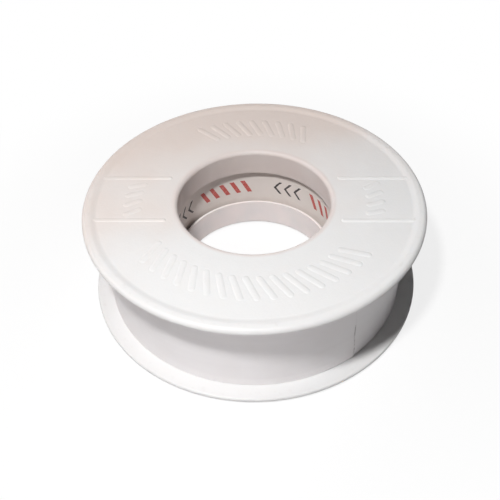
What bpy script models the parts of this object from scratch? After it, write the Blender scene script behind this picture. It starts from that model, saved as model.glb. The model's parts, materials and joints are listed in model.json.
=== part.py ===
"""Roll of electrical tape on a spool of two plug-in side discs, in metres, +Z up.

The roll stands on its lower disc. The origin is the middle of that disc's underside, and every
round piece is centred on Z. The discs' collars plug into a lined board core, the tape is wound
on that core, and its free end lifts about an upright line where it leaves the roll.
"""

import math

import bmesh
import bpy
import numpy as np

MM = 0.001

# Tape
TAPE_WIDTH = 15.0 * MM
TAPE_THICKNESS = 0.13 * MM
TAPE_RADIUS = 25.8 * MM  # outside of the roll at the cut end
TURN_GAP = 0.45 * MM  # between the outer turn and the stretch of it one turn below
CUT_END_AZIMUTH = math.radians(-53.5)
TAB_LENGTH = 12.0 * MM  # free end that lifts, measured along the tape
UNDERLAP = 3.0 * MM  # how far the outer turn starts under its own end

# Side disc
DISC_OVERHANG = 2.7 * MM  # how far the disc stands out past the tape
PLATE_THICKNESS = 0.8 * MM
RIM_RISE = 0.3 * MM
RIM_CREST_WIDTH = 0.8 * MM
RIM_SLOPE_WIDTH = 1.4 * MM
EDGE_RADIUS = 0.7 * MM
UNDER_EDGE_RADIUS = 0.3 * MM
MOST_EDGE_SHARE = 0.65  # of the rim's height, that the upper edge may round
MOST_UNDER_EDGE_SHARE = 0.3  # of the rim's height, that the lower edge may round
UPPER_DISC_TURN = math.radians(-2.0)

# Bars on the disc's plate, in two pairs across its diameter
BAR_SPACING = 10.8 * MM
BAR_BASE_WIDTH = 0.7 * MM
BAR_TOP_WIDTH = 0.4 * MM
BAR_SETBACK = 0.1 * MM  # how far the bars stay below the rim's crest
BAR_BORE_MARGIN = 0.7 * MM  # plain plate between the bore's rounded edge and a bar
BAR_RIM_MARGIN = 0.25 * MM  # how far a bar stops short of the rim's crest

# Bore and collar
BORE_RADIUS = 12.8 * MM
BORE_EDGE_RADIUS = 0.7 * MM
COLLAR_WALL = 1.3 * MM
COLLAR_DEPTH = 4.2 * MM
COLLAR_LEAD_IN = 0.2 * MM
BORE_DRAFT = 0.4 * MM  # widening of the bore from the plate to the collar's end

# Core
LINER_THICKNESS = 0.25 * MM
CORE_WALL = 1.0 * MM

# Fits
COLLAR_CLEARANCE = 0.1 * MM  # radial, so that a disc turns in the core
CONTACT_GAP = 0.3 * MM  # between pieces that touch on the real roll

# Fineness of the round surfaces
SEGMENTS = 96
EDGE_STEPS = 4
UNDER_EDGE_STEPS = 2
SLOPE_STEPS = 4
SHARP_ANGLE = math.radians(35)
GAP_POINTS_PER_TURN = 1440

# Radii
disc_radius = TAPE_RADIUS + DISC_OVERHANG
collar_radius = BORE_RADIUS + COLLAR_WALL
liner_bore = collar_radius + COLLAR_CLEARANCE
core_bore = liner_bore + LINER_THICKNESS + CONTACT_GAP
core_radius = core_bore + CORE_WALL

# Heights
rim_height = PLATE_THICKNESS + RIM_RISE
bar_base = PLATE_THICKNESS / 2
bar_top = rim_height - BAR_SETBACK
lower_face = rim_height
core_base = lower_face + CONTACT_GAP
core_top = core_base + TAPE_WIDTH
upper_face = core_top + CONTACT_GAP

# Rim and bars, with the rim's rounded edges limited by its height
edge_radius = min(EDGE_RADIUS, MOST_EDGE_SHARE * rim_height)
under_edge_radius = min(UNDER_EDGE_RADIUS, MOST_UNDER_EDGE_SHARE * rim_height)
crest_outer = disc_radius - edge_radius
crest_inner = crest_outer - RIM_CREST_WIDTH
bar_inner_end = BORE_RADIUS + BORE_EDGE_RADIUS + BAR_BORE_MARGIN
bar_outer_end = math.sqrt((crest_inner - BAR_RIM_MARGIN) ** 2 - (BAR_SPACING / 2) ** 2)

# Outer turn, as azimuths that grow towards the cut end and a mid-line radius that grows with them
turn_pitch = TAPE_THICKNESS + TURN_GAP
end_radius = TAPE_RADIUS - TAPE_THICKNESS / 2
end_azimuth = CUT_END_AZIMUTH
root_azimuth = end_azimuth - TAB_LENGTH / end_radius
start_azimuth = root_azimuth - 2 * math.pi - UNDERLAP / end_radius
root_half_gap = CONTACT_GAP / 2 / end_radius


def turn_radius(azimuth):
    """Radius of the tape's mid-line in the outer turn."""
    return end_radius - turn_pitch * (end_azimuth - azimuth) / (2 * math.pi)


winding_radius = turn_radius(start_azimuth) - TAPE_THICKNESS / 2 - CONTACT_GAP


def tape_path(first, last, per_turn=SEGMENTS):
    """Points of the tape's mid-line between two azimuths."""
    steps = math.ceil((last - first) / (2 * math.pi) * per_turn)
    azimuths = [first + (last - first) * i / steps for i in range(steps + 1)]
    return [(turn_radius(a) * math.cos(a), turn_radius(a) * math.sin(a)) for a in azimuths]


def least_gap(path):
    """Least gap between stretches of tape that lie half a turn or more apart along the path."""
    points = np.array(path)
    half_turn = GAP_POINTS_PER_TURN // 2
    distances = [
        np.linalg.norm(points[i + half_turn :] - points[i], axis=1).min()
        for i in range(len(points) - half_turn)
    ]
    return min(distances) - TAPE_THICKNESS


def finish(name, colour, roughness):
    """Material of one colour, which isn't metal."""
    material = bpy.data.materials.new(name)
    material.use_nodes = True
    shader = material.node_tree.nodes["Principled BSDF"]
    shader.inputs["Base Color"].default_value = (*colour, 1.0)
    shader.inputs["Roughness"].default_value = roughness
    shader.inputs["Metallic"].default_value = 0.0
    return material


def add_object(name, mesh, parent, material=None):
    """Object for a mesh, under its parent empty."""
    obj = bpy.data.objects.new(name, mesh)
    bpy.context.scene.collection.objects.link(obj)
    obj.parent = parent
    if material:
        mesh.materials.append(material)
    return obj


def arc(centre, radius, start, end, steps):
    """Points of an arc in the (radius, height) plane, from one angle to another, in degrees."""
    angles = [math.radians(start + (end - start) * i / steps) for i in range(steps + 1)]
    return [(centre[0] + radius * math.cos(a), centre[1] + radius * math.sin(a)) for a in angles]


def turned(name, outline):
    """Mesh of a closed (radius, height) outline turned about Z."""
    bm = bmesh.new()
    corners = [bm.verts.new((r, 0.0, z)) for r, z in outline]
    edges = [bm.edges.new((a, b)) for a, b in zip(corners, corners[1:] + corners[:1])]
    bmesh.ops.spin(
        bm,
        geom=corners + edges,
        cent=(0.0, 0.0, 0.0),
        axis=(0.0, 0.0, 1.0),
        angle=2 * math.pi,
        steps=SEGMENTS,
        use_merge=True,
    )
    bmesh.ops.recalc_face_normals(bm, faces=bm.faces)
    mesh = bpy.data.meshes.new(name)
    bm.to_mesh(mesh)
    bm.free()
    mesh.shade_smooth()
    mesh.set_sharp_from_angle(angle=SHARP_ANGLE)
    return mesh


def ring(name, inner, outer, base, top):
    """Mesh of a plain tube about Z."""
    return turned(name, [(inner, base), (inner, top), (outer, top), (outer, base)])


def disc_outline():
    """Section of a side disc, its inner face at height 0 and its outer face up."""
    slope = [
        (
            crest_inner - RIM_SLOPE_WIDTH * (1 - i / SLOPE_STEPS),
            PLATE_THICKNESS + RIM_RISE * (1 - math.cos(math.pi * i / SLOPE_STEPS)) / 2,
        )
        for i in range(SLOPE_STEPS + 1)
    ]
    bore_centre = (BORE_RADIUS + BORE_EDGE_RADIUS, PLATE_THICKNESS - BORE_EDGE_RADIUS)
    edge_centre = (crest_outer, rim_height - edge_radius)
    under_centre = (disc_radius - under_edge_radius, under_edge_radius)
    return (
        arc(bore_centre, BORE_EDGE_RADIUS, 180, 90, EDGE_STEPS)
        + slope
        + arc(edge_centre, edge_radius, 90, 0, EDGE_STEPS)
        + arc(under_centre, under_edge_radius, 0, -90, UNDER_EDGE_STEPS)
        + [
            (collar_radius, 0.0),
            (collar_radius, COLLAR_LEAD_IN - COLLAR_DEPTH),
            (collar_radius - COLLAR_LEAD_IN, -COLLAR_DEPTH),
            (BORE_RADIUS + BORE_DRAFT, -COLLAR_DEPTH),
        ]
    )


def add_bar(bm, side, row):
    """One raised bar, sunk into the plate and drawn in towards its top."""
    centre = row * BAR_SPACING / 2
    foot = []
    for x, y in ((bar_inner_end, -1), (bar_outer_end, -1), (bar_outer_end, 1), (bar_inner_end, 1)):
        foot.append(bm.verts.new((side * x, centre + y * BAR_BASE_WIDTH / 2, bar_base)))
    raised = bmesh.ops.extrude_face_region(bm, geom=[bm.faces.new(foot)])["geom"]
    for vert in [item for item in raised if isinstance(item, bmesh.types.BMVert)]:
        vert.co.y = centre + (vert.co.y - centre) * BAR_TOP_WIDTH / BAR_BASE_WIDTH
        vert.co.z = bar_top


def bars_mesh():
    """The four bars of a disc, two on each side of its bore."""
    bm = bmesh.new()
    for side in (-1, 1):
        for row in (-1, 1):
            add_bar(bm, side, row)
    bmesh.ops.recalc_face_normals(bm, faces=bm.faces)
    mesh = bpy.data.meshes.new("disc_bars")
    bm.to_mesh(mesh)
    bm.free()
    return mesh


def add_disc(name, mesh, bars, height, tilt, turn, parent):
    """Side disc with its bars joined on, its origin on the roll's axis."""
    disc = add_object(name, mesh, parent)
    disc.location = (0.0, 0.0, height)
    disc.rotation_euler = (tilt, 0.0, turn)
    helper = add_object(f"{name}_bars", bars, disc)
    helper.hide_render = True
    helper.display_type = "WIRE"
    join = disc.modifiers.new("bars", "BOOLEAN")
    join.operation = "UNION"
    join.solver = "EXACT"
    join.object = helper
    return disc


def ribbon(name, path, origin, parent, material):
    """Upright strip of tape along a path, with its origin at a given point."""
    bm = bmesh.new()
    corners = [bm.verts.new((x - origin[0], y - origin[1], 0.0)) for x, y in path]
    edges = [bm.edges.new(pair) for pair in zip(corners, corners[1:])]
    lifted = bmesh.ops.extrude_edge_only(bm, edges=edges)["geom"]
    top_verts = [item for item in lifted if isinstance(item, bmesh.types.BMVert)]
    bmesh.ops.translate(bm, verts=top_verts, vec=(0.0, 0.0, TAPE_WIDTH))
    mesh = bpy.data.meshes.new(name)
    bm.to_mesh(mesh)
    bm.free()
    mesh.shade_smooth()
    strip = add_object(name, mesh, parent, material)
    strip.location = (*origin, core_base)
    film = strip.modifiers.new("film", "SOLIDIFY")
    film.thickness = TAPE_THICKNESS
    film.offset = 0.0
    film.use_even_offset = True
    return strip


def build():
    """All pieces of the roll, under one empty at the origin."""
    for obj in list(bpy.data.objects):
        bpy.data.objects.remove(obj)
    roll = bpy.data.objects.new("roll", None)
    bpy.context.scene.collection.objects.link(roll)

    white_disc = finish("moulded_disc", (0.84, 0.82, 0.82), 0.45)
    board = finish("core_board", (0.60, 0.52, 0.42), 0.85)
    paper = finish("liner_paper", (0.82, 0.80, 0.78), 0.70)
    film = finish("tape_film", (0.83, 0.81, 0.81), 0.38)

    disc_mesh = turned("side_disc", disc_outline())
    disc_mesh.materials.append(white_disc)
    bars = bars_mesh()
    add_disc("upper_flange", disc_mesh, bars, upper_face, 0.0, UPPER_DISC_TURN, roll)
    add_disc("lower_flange", disc_mesh, bars, lower_face, math.pi, 0.0, roll)

    liner = ring("core_liner", liner_bore, liner_bore + LINER_THICKNESS, core_base, core_top)
    add_object("core_liner", liner, roll, paper)
    tube = ring("core_tube", core_bore, core_radius, core_base, core_top)
    add_object("core_tube", tube, roll, board)
    winding = ring("tape_winding", core_radius + CONTACT_GAP, winding_radius, core_base, core_top)
    add_object("tape_winding", winding, roll, film)

    outer_turn = tape_path(start_azimuth, root_azimuth - root_half_gap)
    ribbon("tape_outer_turn", outer_turn, (0.0, 0.0), roll, film)
    root_radius = turn_radius(root_azimuth)
    root = (root_radius * math.cos(root_azimuth), root_radius * math.sin(root_azimuth))
    ribbon("tape_end", tape_path(root_azimuth + root_half_gap, end_azimuth), root, roll, film)

    whole_turn = tape_path(start_azimuth, end_azimuth, GAP_POINTS_PER_TURN)
    print(f"outer turn of tape: least gap to itself {least_gap(whole_turn) / MM:.3f} mm")


build()
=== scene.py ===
import json
import math
from collections import namedtuple

import bmesh
import bpy
from mathutils import Matrix, Vector


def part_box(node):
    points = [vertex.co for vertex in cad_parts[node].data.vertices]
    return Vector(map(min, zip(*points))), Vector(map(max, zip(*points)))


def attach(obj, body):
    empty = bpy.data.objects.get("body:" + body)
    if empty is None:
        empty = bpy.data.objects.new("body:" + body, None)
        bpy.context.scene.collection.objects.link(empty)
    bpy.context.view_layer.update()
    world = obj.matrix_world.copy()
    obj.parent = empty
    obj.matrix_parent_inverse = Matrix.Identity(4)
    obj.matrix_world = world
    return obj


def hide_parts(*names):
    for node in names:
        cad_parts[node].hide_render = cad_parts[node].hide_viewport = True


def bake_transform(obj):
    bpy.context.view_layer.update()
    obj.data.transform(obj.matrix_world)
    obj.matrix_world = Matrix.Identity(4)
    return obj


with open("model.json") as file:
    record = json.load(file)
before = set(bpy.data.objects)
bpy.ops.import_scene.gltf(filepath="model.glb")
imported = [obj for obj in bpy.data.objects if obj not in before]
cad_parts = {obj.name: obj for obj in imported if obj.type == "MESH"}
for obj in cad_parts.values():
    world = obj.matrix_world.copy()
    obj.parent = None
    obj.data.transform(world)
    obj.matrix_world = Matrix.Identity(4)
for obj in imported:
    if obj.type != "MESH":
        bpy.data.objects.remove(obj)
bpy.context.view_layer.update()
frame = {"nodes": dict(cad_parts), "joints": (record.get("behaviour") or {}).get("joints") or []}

MM = 0.001

# Side disc, as in the CAD model but with finer curves
PLATE_THICKNESS = 0.8 * MM
RIM_CREST_WIDTH = 0.4 * MM  # narrower than in the CAD model, so that the slope lies further out
RIM_SLOPE_WIDTH = 1.4 * MM
EDGE_RADIUS = 0.7 * MM
UNDER_EDGE_RADIUS = 0.3 * MM
BORE_RADIUS = 12.8 * MM
BORE_EDGE_RADIUS = 0.7 * MM
COLLAR_WALL = 1.3 * MM
COLLAR_LEAD_IN = 0.2 * MM
COLLAR_TAPER = 0.4 * MM  # narrowing of the collar's outside from the plate to its end
BORE_DRAFT = 0.4 * MM  # widening of the bore from the plate to the collar's end
UPPER_DISC_TURN = math.radians(-2.0)  # about the roll's axis, as its bars lie in the photograph

# Relief on the disc's plate
RELIEF_SINK = 0.4 * MM  # how far each raised shape reaches down into the plate
BAR_SPACING = 10.8 * MM
BAR_WIDTH = 0.86 * MM
BAR_ROUND = 0.4 * MM  # width of a bar's rounded sides
BAR_CORNER = 0.42 * MM  # stays above BAR_ROUND, which is taken off it at the top
BAR_SETBACK = 0.15 * MM  # how far the bars stay below the rim's crest
BAR_BORE_MARGIN = 0.7 * MM
BAR_RIM_MARGIN = 0.25 * MM
RIB_WIDTH = 1.1 * MM
RIB_ROUND = 0.5 * MM
RIB_RISE = 0.08 * MM
RIB_SLANT = math.radians(24)  # from the radius through a rib's middle
RIB_RADIUS = 20.2 * MM  # of the arc through the ribs' middles
RIB_STEP = math.radians(6.4)
RIB_ROWS = (  # azimuth of each row's middle, its count of ribs and their length
    (math.radians(-90), 17, 5.4 * MM),
    (math.radians(90), 9, 5.4 * MM),
    (math.radians(0), 4, 3.4 * MM),
    (math.radians(180), 4, 3.4 * MM),
)
FOOT_ANGLE = math.radians(6)  # least slope at a raised shape's foot

# Tape
TAPE_THICKNESS = 0.13 * MM
TURN_GAP = 0.02 * MM
TAPE_RADIUS = 25.8 * MM
TAPE_SIDE_GAP = 0.05 * MM  # between the tape's edges and the discs
CUT_END_AZIMUTH = math.radians(-53.5)
SEAM_FROM_ROOT = math.radians(170)  # where the outer turn passes into its last stretch
UNDERLAP = 3.0 * MM  # how far the outer turn starts under its own end
CUT_WAVE = 0.3 * MM  # unevenness of the cut
CUT_WAVES = (  # share of each wave in it, its count across the tape and its phase
    (0.7, 0.55, math.pi / 2),
    (0.3, 2.1, 0.0),
)
CUT_WAVE_REACH = 3.0 * MM  # from the cut, where its unevenness fades out
CUT_DUST_AND_SHADOW_WIDTH = 0.35 * MM  # of the dust and painted shadow line along the cut
CUT_LIFT = 0.03 * MM  # how far the cut edge stands off the turn below it
CUT_LIFT_REACH = 2.0 * MM
FILM_WAVE = 0.012 * MM  # unevenness of the wound film
FILM_WAVES = (  # share of each wave in it, its count round the roll and across the tape, and its phase
    (0.5, 7, 1.3, 0.0),
    (0.3, 13, -0.7, 1.0),
    (0.2, 3, 2.0, 0.0),
)

# Core
LINER_THICKNESS = 0.25 * MM
CONTACT_GAP = 0.3 * MM  # of the CAD model, between faces that touch on the real roll

# Fineness
ROUND_SEGMENTS = 256
FILM_STEPS_PER_TURN = 360
FILM_ROWS = 12
EDGE_STEPS = 10
SLOPE_STEPS = 12
STRIP_STEPS = 5
SHARP_ANGLE = math.radians(30)
FLAT_TOLERANCE = 0.001 * MM

# Places from the frame
tape_low, tape_high = (corner.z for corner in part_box("tape_winding"))
winding_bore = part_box("core_tube")[1].x + CONTACT_GAP
liner_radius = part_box("core_liner")[1].x
liner_bore = liner_radius - LINER_THICKNESS
disc_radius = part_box("lower_flange")[1].x
roll_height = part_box("upper_flange")[1].z
roll_middle = Vector((0.0, 0.0, roll_height / 2))
collar_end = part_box("upper_flange")[0].z
upper_face = tape_high + CONTACT_GAP
lower_face = tape_low - CONTACT_GAP
film_low = lower_face + TAPE_SIDE_GAP
film_high = upper_face - TAPE_SIDE_GAP
rim_height = roll_height - upper_face
collar_depth = upper_face - collar_end
joints = {joint["name"]: joint for joint in frame["joints"]}
root = Vector(joints["tape_end_lift"]["pos_m"])

# Outer turn, as azimuths that grow towards the cut end
turn_pitch = TAPE_THICKNESS + TURN_GAP
end_radius = TAPE_RADIUS - TAPE_THICKNESS / 2
root_azimuth = math.atan2(root.y, root.x)
seam_azimuth = root_azimuth - SEAM_FROM_ROOT
start_azimuth = root_azimuth - 2 * math.pi - UNDERLAP / end_radius


def turn_radius(azimuth):
    """Radius of the film's middle in the outer turn."""
    return end_radius - turn_pitch * (CUT_END_AZIMUTH - azimuth) / (2 * math.pi)


def arc(centre, radius, start, end, steps=EDGE_STEPS):
    """Points of an arc in a plane, from one angle to another, in degrees."""
    angles = [math.radians(start + (end - start) * i / steps) for i in range(steps + 1)]
    return [(centre[0] + radius * math.cos(a), centre[1] + radius * math.sin(a)) for a in angles]


def shaded(mesh):
    """Smooth shading that keeps the sharp edges."""
    mesh.shade_smooth()
    mesh.set_sharp_from_angle(angle=SHARP_ANGLE)
    return mesh


def mesh_from(name, bm):
    """Mesh of a finished bmesh, with its faces turned outwards."""
    bmesh.ops.recalc_face_normals(bm, faces=bm.faces)
    mesh = bpy.data.meshes.new(name)
    bm.to_mesh(mesh)
    bm.free()
    return mesh


def add_object(name, data, material=None):
    """Object for a mesh, lamp or camera, in the scene."""
    obj = bpy.data.objects.new(name, data)
    bpy.context.scene.collection.objects.link(obj)
    if material:
        data.materials.clear()
        data.materials.append(material)
    return obj


def turned(name, outline):
    """Mesh of a closed (radius, height) outline turned about Z."""
    bm = bmesh.new()
    corners = [bm.verts.new((r, 0.0, z)) for r, z in outline]
    edges = [bm.edges.new((a, b)) for a, b in zip(corners, corners[1:] + corners[:1])]
    bmesh.ops.spin(
        bm,
        geom=corners + edges,
        cent=(0.0, 0.0, 0.0),
        axis=(0.0, 0.0, 1.0),
        angle=2 * math.pi,
        steps=ROUND_SEGMENTS,
        use_merge=True,
    )
    return shaded(mesh_from(name, bm))


def ring_outline(inner, outer, low, high):
    """Section of a plain ring."""
    return [(inner, low), (inner, high), (outer, high), (outer, low)]


def disc_outline():
    """Section of a side disc, its inner face at height 0 and its outer face up."""
    crest_inner = disc_radius - EDGE_RADIUS - RIM_CREST_WIDTH
    rim_rise = rim_height - PLATE_THICKNESS
    slope = [
        (
            crest_inner - RIM_SLOPE_WIDTH * (1 - i / SLOPE_STEPS),
            PLATE_THICKNESS + rim_rise * (1 - math.cos(math.pi * i / SLOPE_STEPS)) / 2,
        )
        for i in range(SLOPE_STEPS + 1)
    ]
    collar_radius = BORE_RADIUS + COLLAR_WALL
    lead_in = (collar_radius - COLLAR_TAPER - COLLAR_LEAD_IN, COLLAR_LEAD_IN - collar_depth)
    bore_edge = (BORE_RADIUS + BORE_EDGE_RADIUS, PLATE_THICKNESS - BORE_EDGE_RADIUS)
    rim_edge = (disc_radius - EDGE_RADIUS, rim_height - EDGE_RADIUS)
    under_edge = (disc_radius - UNDER_EDGE_RADIUS, UNDER_EDGE_RADIUS)
    return (
        arc(bore_edge, BORE_EDGE_RADIUS, 180, 90)
        + slope
        + arc(rim_edge, EDGE_RADIUS, 90, 0)
        + arc(under_edge, UNDER_EDGE_RADIUS, 0, -90)
        + [(collar_radius, 0.0)]
        + arc(lead_in, COLLAR_LEAD_IN, 0, -90)
        + [(BORE_RADIUS + BORE_DRAFT, -collar_depth)]
    )


def raise_strip(bm, place, length, width, corner, rounding, rise):
    """Raised strip along a place's X axis, with round corners and sides that round in to its top."""
    sections = [(0.0, PLATE_THICKNESS - RELIEF_SINK)]
    for i in range(STRIP_STEPS + 1):
        t = i / STRIP_STEPS
        sections.append((rounding * t, PLATE_THICKNESS + rise * (1 - (1 - t) ** 2)))
    rings = []
    for lean, height in sections:
        outline = []
        for i, (x, y) in enumerate(((1, 1), (-1, 1), (-1, -1), (1, -1))):
            middle = (x * (length / 2 - corner), y * (width / 2 - corner))
            outline += arc(middle, corner - lean, 90 * i, 90 * i + 90, STRIP_STEPS)
        rings.append([bm.verts.new(place @ Vector((px, py, height))) for px, py in outline])
    bm.faces.new(rings[0])
    bm.faces.new(rings[-1])
    for low, high in zip(rings, rings[1:]):
        for i in range(len(low)):
            j = (i + 1) % len(low)
            bm.faces.new((low[i], low[j], high[j], high[i]))


def add_bar(bm, side, row):
    """One of the four raised bars that run from the bore's edge onto the rim's slope."""
    middle = row * BAR_SPACING / 2
    reach = disc_radius - EDGE_RADIUS - RIM_CREST_WIDTH - BAR_RIM_MARGIN
    inner = BORE_RADIUS + BORE_EDGE_RADIUS + BAR_BORE_MARGIN
    outer = math.sqrt(reach**2 - middle**2)
    place = Matrix.Translation((side * (inner + outer) / 2, middle, 0.0))
    rise = rim_height - BAR_SETBACK - PLATE_THICKNESS
    raise_strip(bm, place, outer - inner, BAR_WIDTH, BAR_CORNER, BAR_ROUND, rise)


def add_ribs(bm, azimuth, count, length):
    """A row of low slanted grip ribs on an arc about the bore."""
    for i in range(count):
        turn = Matrix.Rotation(azimuth + (i - (count - 1) / 2) * RIB_STEP, 4, "Z")
        place = turn @ Matrix.Translation((RIB_RADIUS, 0.0, 0.0)) @ Matrix.Rotation(RIB_SLANT, 4, "Z")
        raise_strip(bm, place, length, RIB_WIDTH, RIB_WIDTH / 2, RIB_ROUND, RIB_RISE)


def relief_mesh():
    """Everything that stands up from a disc's plate."""
    bm = bmesh.new()
    for side in (-1, 1):
        for row in (-1, 1):
            add_bar(bm, side, row)
    for row in RIB_ROWS:
        add_ribs(bm, *row)
    return mesh_from("disc_relief", bm)


def with_crisp_feet(mesh):
    """Shading that stays flat on the plate up to the foot of each raised shape."""
    bm = bmesh.new()
    bm.from_mesh(mesh)
    for edge in bm.edges:
        at_plate = all(abs(corner.co.z - PLATE_THICKNESS) < FLAT_TOLERANCE for corner in edge.verts)
        if at_plate and edge.calc_face_angle(0.0) > FOOT_ANGLE:
            edge.smooth = False
    bm.to_mesh(mesh)
    bm.free()
    return mesh


def disc_mesh():
    """A side disc with its relief joined on."""
    plate = add_object("plate", turned("plate", disc_outline()))
    relief = add_object("relief", relief_mesh())
    join = plate.modifiers.new("relief", "BOOLEAN")
    join.operation = "UNION"
    join.solver = "EXACT"
    join.object = relief
    bpy.context.view_layer.update()
    depsgraph = bpy.context.evaluated_depsgraph_get()
    joined = bpy.data.meshes.new_from_object(plate.evaluated_get(depsgraph))
    bpy.data.objects.remove(plate)
    bpy.data.objects.remove(relief)
    return with_crisp_feet(shaded(joined))


def film_wave(azimuth, height):
    """Slight unevenness of the wound film, the same in each turn."""
    across = 2 * math.pi * height / (tape_high - tape_low)
    total = 0.0
    for share, waves_round, waves_across, phase in FILM_WAVES:
        total += share * math.sin(waves_round * azimuth + waves_across * across + phase)
    return FILM_WAVE * total


def cut_shift(height):
    """How far the cut wanders along the tape at a height on it, as an angle."""
    across = 2 * math.pi * (height - tape_low) / (tape_high - tape_low)
    total = sum(share * math.sin(waves * across + phase) for share, waves, phase in CUT_WAVES)
    return CUT_WAVE * total / end_radius


def film_mesh(name, first, last):
    """Strip of film wound about Z between two azimuths, as a closed solid."""
    steps = math.ceil((last - first) / (2 * math.pi) * FILM_STEPS_PER_TURN)
    heights = [film_low + (film_high - film_low) * i / FILM_ROWS for i in range(FILM_ROWS + 1)]
    section = [(1, z) for z in heights] + [(-1, z) for z in reversed(heights)]
    bm = bmesh.new()
    near_cut = bm.verts.layers.float.new("near_cut")
    rings = []
    for i in range(steps + 1):
        azimuth = first + (last - first) * i / steps
        from_cut = (CUT_END_AZIMUTH - azimuth) * end_radius
        wave_share = max(0.0, 1 - from_cut / CUT_WAVE_REACH)
        lift = CUT_LIFT * max(0.0, 1 - from_cut / CUT_LIFT_REACH) ** 2
        ring = []
        for side, z in section:
            a = azimuth + wave_share * cut_shift(z)
            r = turn_radius(azimuth) + side * TAPE_THICKNESS / 2 + film_wave(a, z) + lift
            corner = bm.verts.new((r * math.cos(a), r * math.sin(a), z))
            corner[near_cut] = wave_share
            ring.append(corner)
        rings.append(ring)
    count = len(section)
    for near, far in zip(rings, rings[1:]):
        for i in range(count):
            j = (i + 1) % count
            bm.faces.new((near[i], near[j], far[j], far[i]))
    for ring in (rings[0], rings[-1]):
        for i in range(FILM_ROWS):
            bm.faces.new((ring[i], ring[i + 1], ring[count - 2 - i], ring[count - 1 - i]))
    return shaded(mesh_from(name, bm))


# Two uses of noise, whose scale is in features per metre. In patches, its levels from start to full become
# values from least to most. As relief, it becomes a height.
Patches = namedtuple("Patches", "scale detail start full least most")
Relief = namedtuple("Relief", "scale detail height")


class Graph:
    """The node tree of a material or world, with short calls for the nodes used here."""

    def __init__(self, owner):
        owner.use_nodes = True
        self.tree = owner.node_tree

    def feed(self, socket, value):
        """Link an output to a socket, or set the socket to a constant."""
        if isinstance(value, bpy.types.NodeSocket):
            self.tree.links.new(value, socket)
        else:
            socket.default_value = value

    def set(self, node_name, inputs):
        """Feed inputs of a node that is already in the tree."""
        for key, value in inputs.items():
            self.feed(self.tree.nodes[node_name].inputs[key], value)

    def node(self, kind, inputs=(), **settings):
        """A node with its settings made and its inputs fed, by index or name."""
        node = self.tree.nodes.new(kind)
        for key, value in settings.items():
            setattr(node, key, value)
        for key, value in dict(inputs).items():
            self.feed(node.inputs[key], value)
        return node

    def position(self):
        """Position in the object's own space, in metres."""
        return self.node("ShaderNodeTexCoord").outputs["Object"]

    def split(self, vector):
        """The three parts of a vector."""
        return self.node("ShaderNodeSeparateXYZ", {0: vector}).outputs

    def math(self, operation, a, b=0.0):
        """One step of arithmetic."""
        return self.node("ShaderNodeMath", {0: a, 1: b}, operation=operation).outputs[0]

    def plus(self, a, b):
        """The sum of two values."""
        return self.math("ADD", a, b)

    def times(self, a, b):
        """The product of two values."""
        return self.math("MULTIPLY", a, b)

    def noise(self, vector, scale, detail=2.0):
        """Noise at a place."""
        inputs = {"Vector": vector, "Scale": scale, "Detail": detail}
        return self.node("ShaderNodeTexNoise", inputs).outputs["Fac"]

    def span(self, value, low, high, to_low=0.0, to_high=1.0):
        """A value's range mapped smoothly onto another."""
        inputs = {"Value": value, 1: low, 2: high, 3: to_low, 4: to_high}
        node = self.node("ShaderNodeMapRange", inputs, interpolation_type="SMOOTHSTEP")
        return node.outputs[0]

    def patches(self, vector, kind):
        """Noise whose levels are mapped onto a value."""
        noise = self.noise(vector, kind.scale, kind.detail)
        return self.span(noise, kind.start, kind.full, kind.least, kind.most)

    def mix(self, factor, a, b):
        """A colour between two others."""
        node = self.node("ShaderNodeMix", {0: factor}, data_type="RGBA")
        for socket, colour in zip((node.inputs[6], node.inputs[7]), (a, b)):
            self.feed(socket, colour if isinstance(colour, bpy.types.NodeSocket) else (*colour, 1.0))
        return node.outputs[2]

    def bump(self, level, height, normal=None):
        """A normal bumped by a level between 0 and 1, over another one if there is one."""
        inputs = {"Height": level, "Distance": height, "Strength": 1.0}
        if normal:
            inputs["Normal"] = normal
        return self.node("ShaderNodeBump", inputs).outputs[0]

    def relief(self, vector, kind, normal=None):
        """A normal bumped by noise, over another one if there is one."""
        return self.bump(self.noise(vector, kind.scale, kind.detail), kind.height, normal)

    def wound(self, place, length, width, detail):
        """Noise drawn out along the winding of the roll, with no seam."""
        inputs = {0: place, 1: (length, length, width)}
        drawn_out = self.node("ShaderNodeVectorMath", inputs, operation="DIVIDE").outputs[0]
        return self.noise(drawn_out, 1.0, detail)

    def seen_directly(self):
        """One for rays that come straight from the camera, a reflection or glass, and zero for the rest."""
        rays = self.node("ShaderNodeLightPath").outputs
        mirrored = self.math("MAXIMUM", rays["Is Glossy Ray"], rays["Is Transmission Ray"])
        return self.math("MAXIMUM", rays["Is Camera Ray"], mirrored)


SUBSURFACE_TINT = (1.0, 0.85, 0.75)

# Moulded plastic of the discs
# Painted shade: the lower disc has a darker tone than the upper one, though both are the same moulding
LOWER_SHADED_TONES = ((0.762, 0.762, 0.762), (0.745, 0.74, 0.735))
LOWER_CLOUD_SCALE = 70.0
UPPER_TONE = (0.825, 0.823, 0.82)
UPPER_SPAN = (4.0 * MM, 14.0 * MM)  # heights at which the upper disc's tone starts and is full
# Painted shade and warm light: the upper disc's tone turns darker and warmer towards its back left
BACK_SHADE_TONE = (0.785, 0.69, 0.64)
BACK_SHADE_TOWARDS = (-0.4, 0.92)  # the side of the upper disc towards which painted shade and warm light darken and warm its tone, as a direction in X and Y
BACK_SHADE_SPAN = (-15.0 * MM, 25.0 * MM)  # where on that direction the painted shade and warm light start and are full
BACK_SHADE_BORDER = Patches(60.0, 2.0, 0.3, 0.7, -6.0 * MM, 6.0 * MM)
BORE_LIGHT_AND_SHADE_TONES = ((0.93, 0.835, 0.82), (0.75, 0.66, 0.63))  # painted light in the lower disc's bore and painted shade in the upper disc's bore
BORE_LIGHT_AND_SHADE_SPAN = (14.0 * MM, 13.3 * MM)  # radii at which they start and are full
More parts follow.
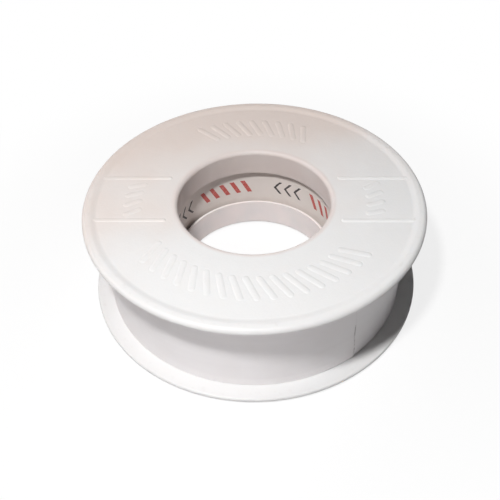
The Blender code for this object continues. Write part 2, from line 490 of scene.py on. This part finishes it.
# patches in which the bores' painted light and shade show
BORE_LIGHT_AND_SHADE_PATCHES = Patches(200.0, 2.0, 0.2, 0.7, 0.4, 0.8)
DUST_TONE = (0.55, 0.50, 0.47)
DUST_SPECKS = Patches(1400.0, 4.0, 0.66, 0.74, 0.0, 1.0)
DUST_CLOUDS = Patches(120.0, 2.0, 0.45, 0.65, 0.0, 0.08)
# Serves the real scuffs on the rim's crest, and the wear with painted shade on the upper disc's edge
WEAR_AND_SHADE_TONE = (0.60, 0.57, 0.55)
CREST_INNER_SPAN = (26.9 * MM, 27.2 * MM)  # radii at which the scuffs on the rim start and are full
CREST_OUTER_SPAN = (28.3 * MM, 27.9 * MM)  # radii at which they are gone and still full
CREST_SCUFFS = Patches(900.0, 5.0, 0.56, 0.68, 0.0, 0.14)
EDGE_SPAN = (27.6 * MM, 28.1 * MM)  # radii at which the wear and painted shade of the upper edge start and are full
EDGE_WEAR_AND_SHADE = 0.13
DISC_ROUGHNESS = Patches(500.0, 4.0, 0.3, 0.7, 0.36, 0.52)
DISC_GRAIN = Relief(2600.0, 3.0, 0.015 * MM)
DISC_WAVES = Relief(260.0, 2.0, 0.05 * MM)
DISC_SPECULAR = 0.25
DISC_SUBSURFACE = 0.12
DISC_SUBSURFACE_DEPTH = 0.6 * MM


def moulded_plastic():
    """White moulded plastic with a grain, dust and a scuffed rim; painted shade and warm light on the upper
    disc's back, painted light and shade in the bores, painted shade on the lower disc, and wear with
    painted shade on the upper edge.
    """
    material = bpy.data.materials.new("moulded_disc")
    g = Graph(material)
    place = g.position()
    x, y, z = g.split(place)
    radius = g.math("SQRT", g.plus(g.times(x, x), g.times(y, y)))
    upper = g.span(z, *UPPER_SPAN)
    # painted shade and warm light towards the upper disc's back left
    towards = g.plus(g.times(x, BACK_SHADE_TOWARDS[0]), g.times(y, BACK_SHADE_TOWARDS[1]))
    back_shade = g.span(g.plus(towards, g.patches(place, BACK_SHADE_BORDER)), *BACK_SHADE_SPAN)
    # painted light and shade in the bores, in patches
    bore_light_and_shade = g.times(g.span(radius, *BORE_LIGHT_AND_SHADE_SPAN), g.patches(place, BORE_LIGHT_AND_SHADE_PATCHES))
    dusty = g.times(g.patches(place, DUST_SPECKS), g.patches(place, DUST_CLOUDS))
    on_crest = g.times(g.span(radius, *CREST_INNER_SPAN), g.span(radius, *CREST_OUTER_SPAN))
    scuffed = g.times(on_crest, g.patches(place, CREST_SCUFFS))
    # wear with painted shade that tones down the upper edge's highlight
    worn_and_shaded_edge = g.times(upper, g.span(radius, *EDGE_SPAN, 0.0, EDGE_WEAR_AND_SHADE))
    # painted shade: the lower disc darker than the upper one
    tone = g.mix(g.noise(place, LOWER_CLOUD_SCALE), *LOWER_SHADED_TONES)
    tone = g.mix(upper, tone, UPPER_TONE)
    tone = g.mix(g.times(back_shade, upper), tone, BACK_SHADE_TONE)
    tone = g.mix(bore_light_and_shade, tone, g.mix(upper, *BORE_LIGHT_AND_SHADE_TONES))
    tone = g.mix(dusty, tone, DUST_TONE)
    tone = g.mix(scuffed, tone, WEAR_AND_SHADE_TONE)
    tone = g.mix(worn_and_shaded_edge, tone, WEAR_AND_SHADE_TONE)
    look = {
        "Base Color": tone,
        "Roughness": g.patches(place, DISC_ROUGHNESS),
        "Normal": g.relief(place, DISC_WAVES, g.relief(place, DISC_GRAIN)),
        "Specular IOR Level": DISC_SPECULAR,
        "Subsurface Weight": DISC_SUBSURFACE,
        "Subsurface Radius": SUBSURFACE_TINT,
        "Subsurface Scale": DISC_SUBSURFACE_DEPTH,
    }
    g.set("Principled BSDF", look)
    return material


# Film of the tape
FILM_TONES = ((0.875, 0.845, 0.85), (0.925, 0.90, 0.90))
STREAK_LENGTH = 21.5 * MM
STREAK_WIDTH = 1.1 * MM
STREAK_DETAIL = 4.0
STREAK_HEIGHT = 0.02 * MM
BLOTCH_TONE = (0.83, 0.79, 0.79)
BLOTCHES = Patches(160.0, 3.0, 0.4, 0.7, 0.0, 0.25)
# Dust and a painted shadow line along the cut
CUT_DUST_AND_SHADOW_TONE = (0.42, 0.38, 0.38)
CUT_DUST_AND_SHADOW = Patches(450.0, 3.0, 0.42, 0.6, 0.1, 1.0)
FILM_ROUGHNESS = Patches(700.0, 3.0, 0.3, 0.7, 0.30, 0.44)
FILM_RELIEF = Relief(220.0, 2.0, 0.06 * MM)
FILM_SPECULAR = 0.3
FILM_SUBSURFACE = 0.08
FILM_SUBSURFACE_DEPTH = 0.3 * MM


def tape_film():
    """Soft white insulating film, with faint streaks along the tape and dust with a painted shadow line on
    its cut.
    """
    material = bpy.data.materials.new("tape_film")
    g = Graph(material)
    place = g.position()
    streaks = g.wound(place, STREAK_LENGTH, STREAK_WIDTH, STREAK_DETAIL)
    near_cut = g.node("ShaderNodeAttribute", attribute_name="near_cut").outputs["Fac"]
    at_cut = g.span(near_cut, 1.0 - CUT_DUST_AND_SHADOW_WIDTH / CUT_WAVE_REACH, 1.0)
    tone = g.mix(streaks, *FILM_TONES)
    tone = g.mix(g.patches(place, BLOTCHES), tone, BLOTCH_TONE)
    # dust and a painted shadow line along the cut
    tone = g.mix(g.times(at_cut, g.patches(place, CUT_DUST_AND_SHADOW)), tone, CUT_DUST_AND_SHADOW_TONE)
    look = {
        "Base Color": tone,
        "Roughness": g.patches(place, FILM_ROUGHNESS),
        "Normal": g.relief(place, FILM_RELIEF, g.bump(streaks, STREAK_HEIGHT)),
        "Specular IOR Level": FILM_SPECULAR,
        "Subsurface Weight": FILM_SUBSURFACE,
        "Subsurface Radius": SUBSURFACE_TINT,
        "Subsurface Scale": FILM_SUBSURFACE_DEPTH,
    }
    g.set("Principled BSDF", look)
    return material


# Printed paper of the liner
Stripes = namedtuple("Stripes", "lean first count pitch width")
PRINT_REPEATS = 4
PRINT_HEIGHT = 2.8 * MM
PRINT_DROP = 0.4 * MM  # of the print's middle below the tape's
PRINT_WOBBLE = Patches(1800.0, 2.0, 0.0, 1.0, -0.06 * MM, 0.06 * MM)
RED_BARS = Stripes(-0.5, 1.0 * MM, 5, 2.1 * MM, 0.85 * MM)
BLACK_CHEVRONS = Stripes(0.8, 14.0 * MM, 3, 2.0 * MM, 0.5 * MM)
RED_INK = (0.56, 0.10, 0.085)
BLACK_INK = (0.05, 0.04, 0.04)
INK_COVER = Patches(2600.0, 3.0, 0.2, 0.5, 0.75, 1.0)
PAPER_TONES = ((0.79, 0.715, 0.67), (0.82, 0.765, 0.73))
PAPER_CLOUD_SCALE = 400.0
PAPER_CLOUD_DETAIL = 4.0
PAPER_ROUGHNESS = Patches(900.0, 3.0, 0.3, 0.7, 0.48, 0.62)
PAPER_GRAIN = Relief(1500.0, 4.0, 0.02 * MM)


def printed_paper():
    """White coated paper printed with red slanted bars and black chevrons."""
    material = bpy.data.materials.new("liner_paper")
    g = Graph(material)
    place = g.position()
    x, y, z = g.split(place)
    repeat = 2 * math.pi * liner_bore / PRINT_REPEATS
    wobble = g.patches(place, PRINT_WOBBLE)
    around = g.plus(g.times(g.math("ARCTAN2", y, x), liner_bore), wobble)
    height = g.plus(g.math("SUBTRACT", z, (tape_low + tape_high) / 2 - PRINT_DROP), wobble)
    apart = g.math("ABSOLUTE", height)
    printed = g.math("LESS_THAN", apart, PRINT_HEIGHT / 2)

    def stripes(kind, rise):
        """A group of stripes in each repeat of the print, which lean along it as they rise."""
        along = g.math("FLOORED_MODULO", g.plus(around, g.times(rise, kind.lean)), repeat)
        along = g.math("SUBTRACT", along, kind.first)
        past_first = g.math("GREATER_THAN", along, 0.0)
        before_last = g.math("LESS_THAN", along, kind.count * kind.pitch)
        on_stripe = g.math("LESS_THAN", g.math("FLOORED_MODULO", along, kind.pitch), kind.width)
        return g.times(g.times(g.times(past_first, before_last), on_stripe), printed)

    ink = g.patches(place, INK_COVER)
    tone = g.mix(g.noise(place, PAPER_CLOUD_SCALE, PAPER_CLOUD_DETAIL), *PAPER_TONES)
    tone = g.mix(g.times(stripes(RED_BARS, height), ink), tone, RED_INK)
    tone = g.mix(g.times(stripes(BLACK_CHEVRONS, apart), ink), tone, BLACK_INK)
    look = {
        "Base Color": tone,
        "Roughness": g.patches(place, PAPER_ROUGHNESS),
        "Normal": g.relief(place, PAPER_GRAIN),
    }
    g.set("Principled BSDF", look)
    return material


# Wound board of the core tube
BOARD_TONES = ((0.46, 0.38, 0.29), (0.66, 0.57, 0.46))
FIBRE_LENGTH = 1.2 * MM
FIBRE_WIDTH = 0.4 * MM
FIBRE_DETAIL = 5.0
FIBRE_HEIGHT = 0.05 * MM
FIBRE_ROUGHNESS = (0.3, 0.7, 0.78, 0.92)  # two levels of the noise, and the roughness at each


def core_board():
    """Grey-brown wound board, with its fibres lying along the winding."""
    material = bpy.data.materials.new("core_board")
    g = Graph(material)
    fibres = g.wound(g.position(), FIBRE_LENGTH, FIBRE_WIDTH, FIBRE_DETAIL)
    look = {
        "Base Color": g.mix(fibres, *BOARD_TONES),
        "Roughness": g.span(fibres, *FIBRE_ROUGHNESS),
        "Normal": g.bump(fibres, FIBRE_HEIGHT),
    }
    g.set("Principled BSDF", look)
    return material


def place_piece(obj, body, node):
    """Declare a piece that moves with a body in the place of a CAD node."""
    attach(obj, body)
    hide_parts(node)


def add_discs(material):
    """Both side discs, the lower one turned over."""
    mesh = disc_mesh()
    upper_mesh = mesh.copy()
    turn = Matrix.Rotation(UPPER_DISC_TURN, 4, "Z")
    upper_mesh.transform(Matrix.Translation((0.0, 0.0, upper_face)) @ turn)
    upper = add_object("upper_flange_moulding", upper_mesh, material)
    place_piece(upper, "upper_disc", "upper_flange")
    flip = Matrix.Rotation(math.pi, 4, "X")
    mesh.transform(Matrix.Translation((0.0, 0.0, lower_face)) @ flip)
    lower = add_object("lower_flange_moulding", mesh, material)
    place_piece(lower, "lower_disc", "lower_flange")


def add_core(paper, board):
    """The liner's ring of printed paper, and the finish of the board tube behind it."""
    mesh = turned("core_liner_paper", ring_outline(liner_bore, liner_radius, tape_low, tape_high))
    liner = add_object("core_liner_paper", mesh, paper)
    place_piece(liner, "wound_roll", "core_liner")
    tube = frame["nodes"]["core_tube"]
    tube.data.materials.clear()
    tube.data.materials.append(board)


def add_tape(material):
    """The wound tape: its inner turns, its outer turn and its last stretch to the cut end."""
    radius = turn_radius(start_azimuth) - TAPE_THICKNESS / 2 - TURN_GAP
    mesh = turned("tape_inner_turns", ring_outline(winding_bore, radius, film_low, film_high))
    winding = add_object("tape_inner_turns", mesh, material)
    place_piece(winding, "wound_roll", "tape_winding")
    mesh = film_mesh("tape_outer_turn_film", start_azimuth, seam_azimuth)
    outer_turn = add_object("tape_outer_turn_film", mesh, material)
    place_piece(outer_turn, "wound_roll", "tape_outer_turn")
    mesh = film_mesh("tape_end_film", seam_azimuth, CUT_END_AZIMUTH)
    last = add_object("tape_end_film", mesh, material)
    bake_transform(last)
    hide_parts("tape_end")


# Camera, from a fit to the photograph's discs, bore and tape
PHOTO_WIDTH = 500  # pixels
FOCAL_LENGTH = 722.6  # pixels
VIEW_DISTANCE = 126.64 * MM
VIEW_ELEVATION = math.radians(43.59)
VIEW_ROLL = math.radians(-1.266)
VIEW_CENTRE = (-4.82, -14.21)  # the lens axis from the picture's middle, in pixels
SENSOR_WIDTH = 36.0  # mm
NEAREST_SEEN = 1.0 * MM


def add_camera():
    """Camera at the photograph's place."""
    data = bpy.data.cameras.new("camera")
    data.sensor_width = SENSOR_WIDTH
    data.lens = SENSOR_WIDTH * FOCAL_LENGTH / PHOTO_WIDTH
    data.shift_x = VIEW_CENTRE[0] / PHOTO_WIDTH
    data.shift_y = VIEW_CENTRE[1] / PHOTO_WIDTH
    data.clip_start = NEAREST_SEEN
    camera = add_object("camera", data)
    back = Vector((0.0, -math.cos(VIEW_ELEVATION), math.sin(VIEW_ELEVATION)))
    level = (-back).to_track_quat("-Z", "Y").to_matrix().to_4x4()
    place = Matrix.Translation(roll_middle + back * VIEW_DISTANCE)
    camera.matrix_world = place @ level @ Matrix.Rotation(VIEW_ROLL, 4, "Z")
    bpy.context.scene.camera = camera


# Lamps, as (name, azimuth and elevation in degrees, distance, size, power in watts, colour)
LAMPS = (
    ("key", -114.5, 63.1, 180.0 * MM, 18.0 * MM, 0.299, (1.0, 1.0, 1.0)),
    ("low_front", -100.0, -5.0, 100.0 * MM, 30.0 * MM, 0.021, (1.0, 0.95, 0.96)),
    ("side_fill", 150.0, 20.0, 500.0 * MM, 300.0 * MM, 0.39, (1.0, 0.84, 0.82)),
)


def add_lights():
    """Soft lamps round the roll, each turned to its middle."""
    for name, azimuth, elevation, distance, size, power, colour in LAMPS:
        a, e = math.radians(azimuth), math.radians(elevation)
        towards = Vector((math.cos(a) * math.cos(e), math.sin(a) * math.cos(e), math.sin(e)))
        data = bpy.data.lights.new(name, "AREA")
        data.shape = "DISK"
        data.size = size
        data.energy = power
        data.color = colour
        lamp = add_object(name, data)
        lamp.location = roll_middle + towards * distance
        lamp.rotation_mode = "QUATERNION"
        lamp.rotation_quaternion = towards.to_track_quat("Z", "Y")
        lamp.visible_camera = False


# Surroundings
WHITE = (1.0, 1.0, 1.0, 1.0)
AMBIENT = 0.01  # strength of the light from all sides
FLOOR_SIZE = 2.0  # metres
FLOOR_TONE = (0.60, 1.0)  # for the light it throws back, and where it is seen
FLOOR_SHADE = 0.18  # share of the floor's look that its light and shadow set, beside the roll
SHADE_REACH = (25.0 * MM, 75.0 * MM)  # from the roll's axis, where that share starts to fade and is gone


def add_world():
    """White to look at, and a weak even light on the roll."""
    world = bpy.data.worlds.new("studio")
    bpy.context.scene.world = world
    g = Graph(world)
    strength = g.span(g.seen_directly(), 0.0, 1.0, AMBIENT, 1.0)
    g.set("Background", {"Color": WHITE, "Strength": strength})


def add_floor():
    """White floor that shows only a faint shadow and lights the roll from below."""
    bm = bmesh.new()
    bmesh.ops.create_grid(bm, x_segments=1, y_segments=1, size=FLOOR_SIZE / 2)
    material = bpy.data.materials.new("floor")
    g = Graph(material)
    seen = g.seen_directly()
    matt = g.node("ShaderNodeBsdfDiffuse", {"Color": g.span(seen, 0.0, 1.0, *FLOOR_TONE)})
    glow = g.node("ShaderNodeEmission", {"Color": WHITE})
    away = g.node("ShaderNodeVectorMath", {0: g.position()}, operation="LENGTH").outputs["Value"]
    share = g.times(seen, g.span(away, *SHADE_REACH, 1.0 - FLOOR_SHADE, 1.0))
    both = g.node("ShaderNodeMixShader", {0: share, 1: matt.outputs[0], 2: glow.outputs[0]})
    g.set("Material Output", {"Surface": both.outputs[0]})
    g.tree.nodes.remove(g.tree.nodes["Principled BSDF"])
    add_object("floor", mesh_from("floor", bm), material)


add_discs(moulded_plastic())
add_core(printed_paper(), core_board())
add_tape(tape_film())
add_camera()
add_lights()
add_world()
add_floor()
bpy.context.scene.view_settings.view_transform = "Standard"
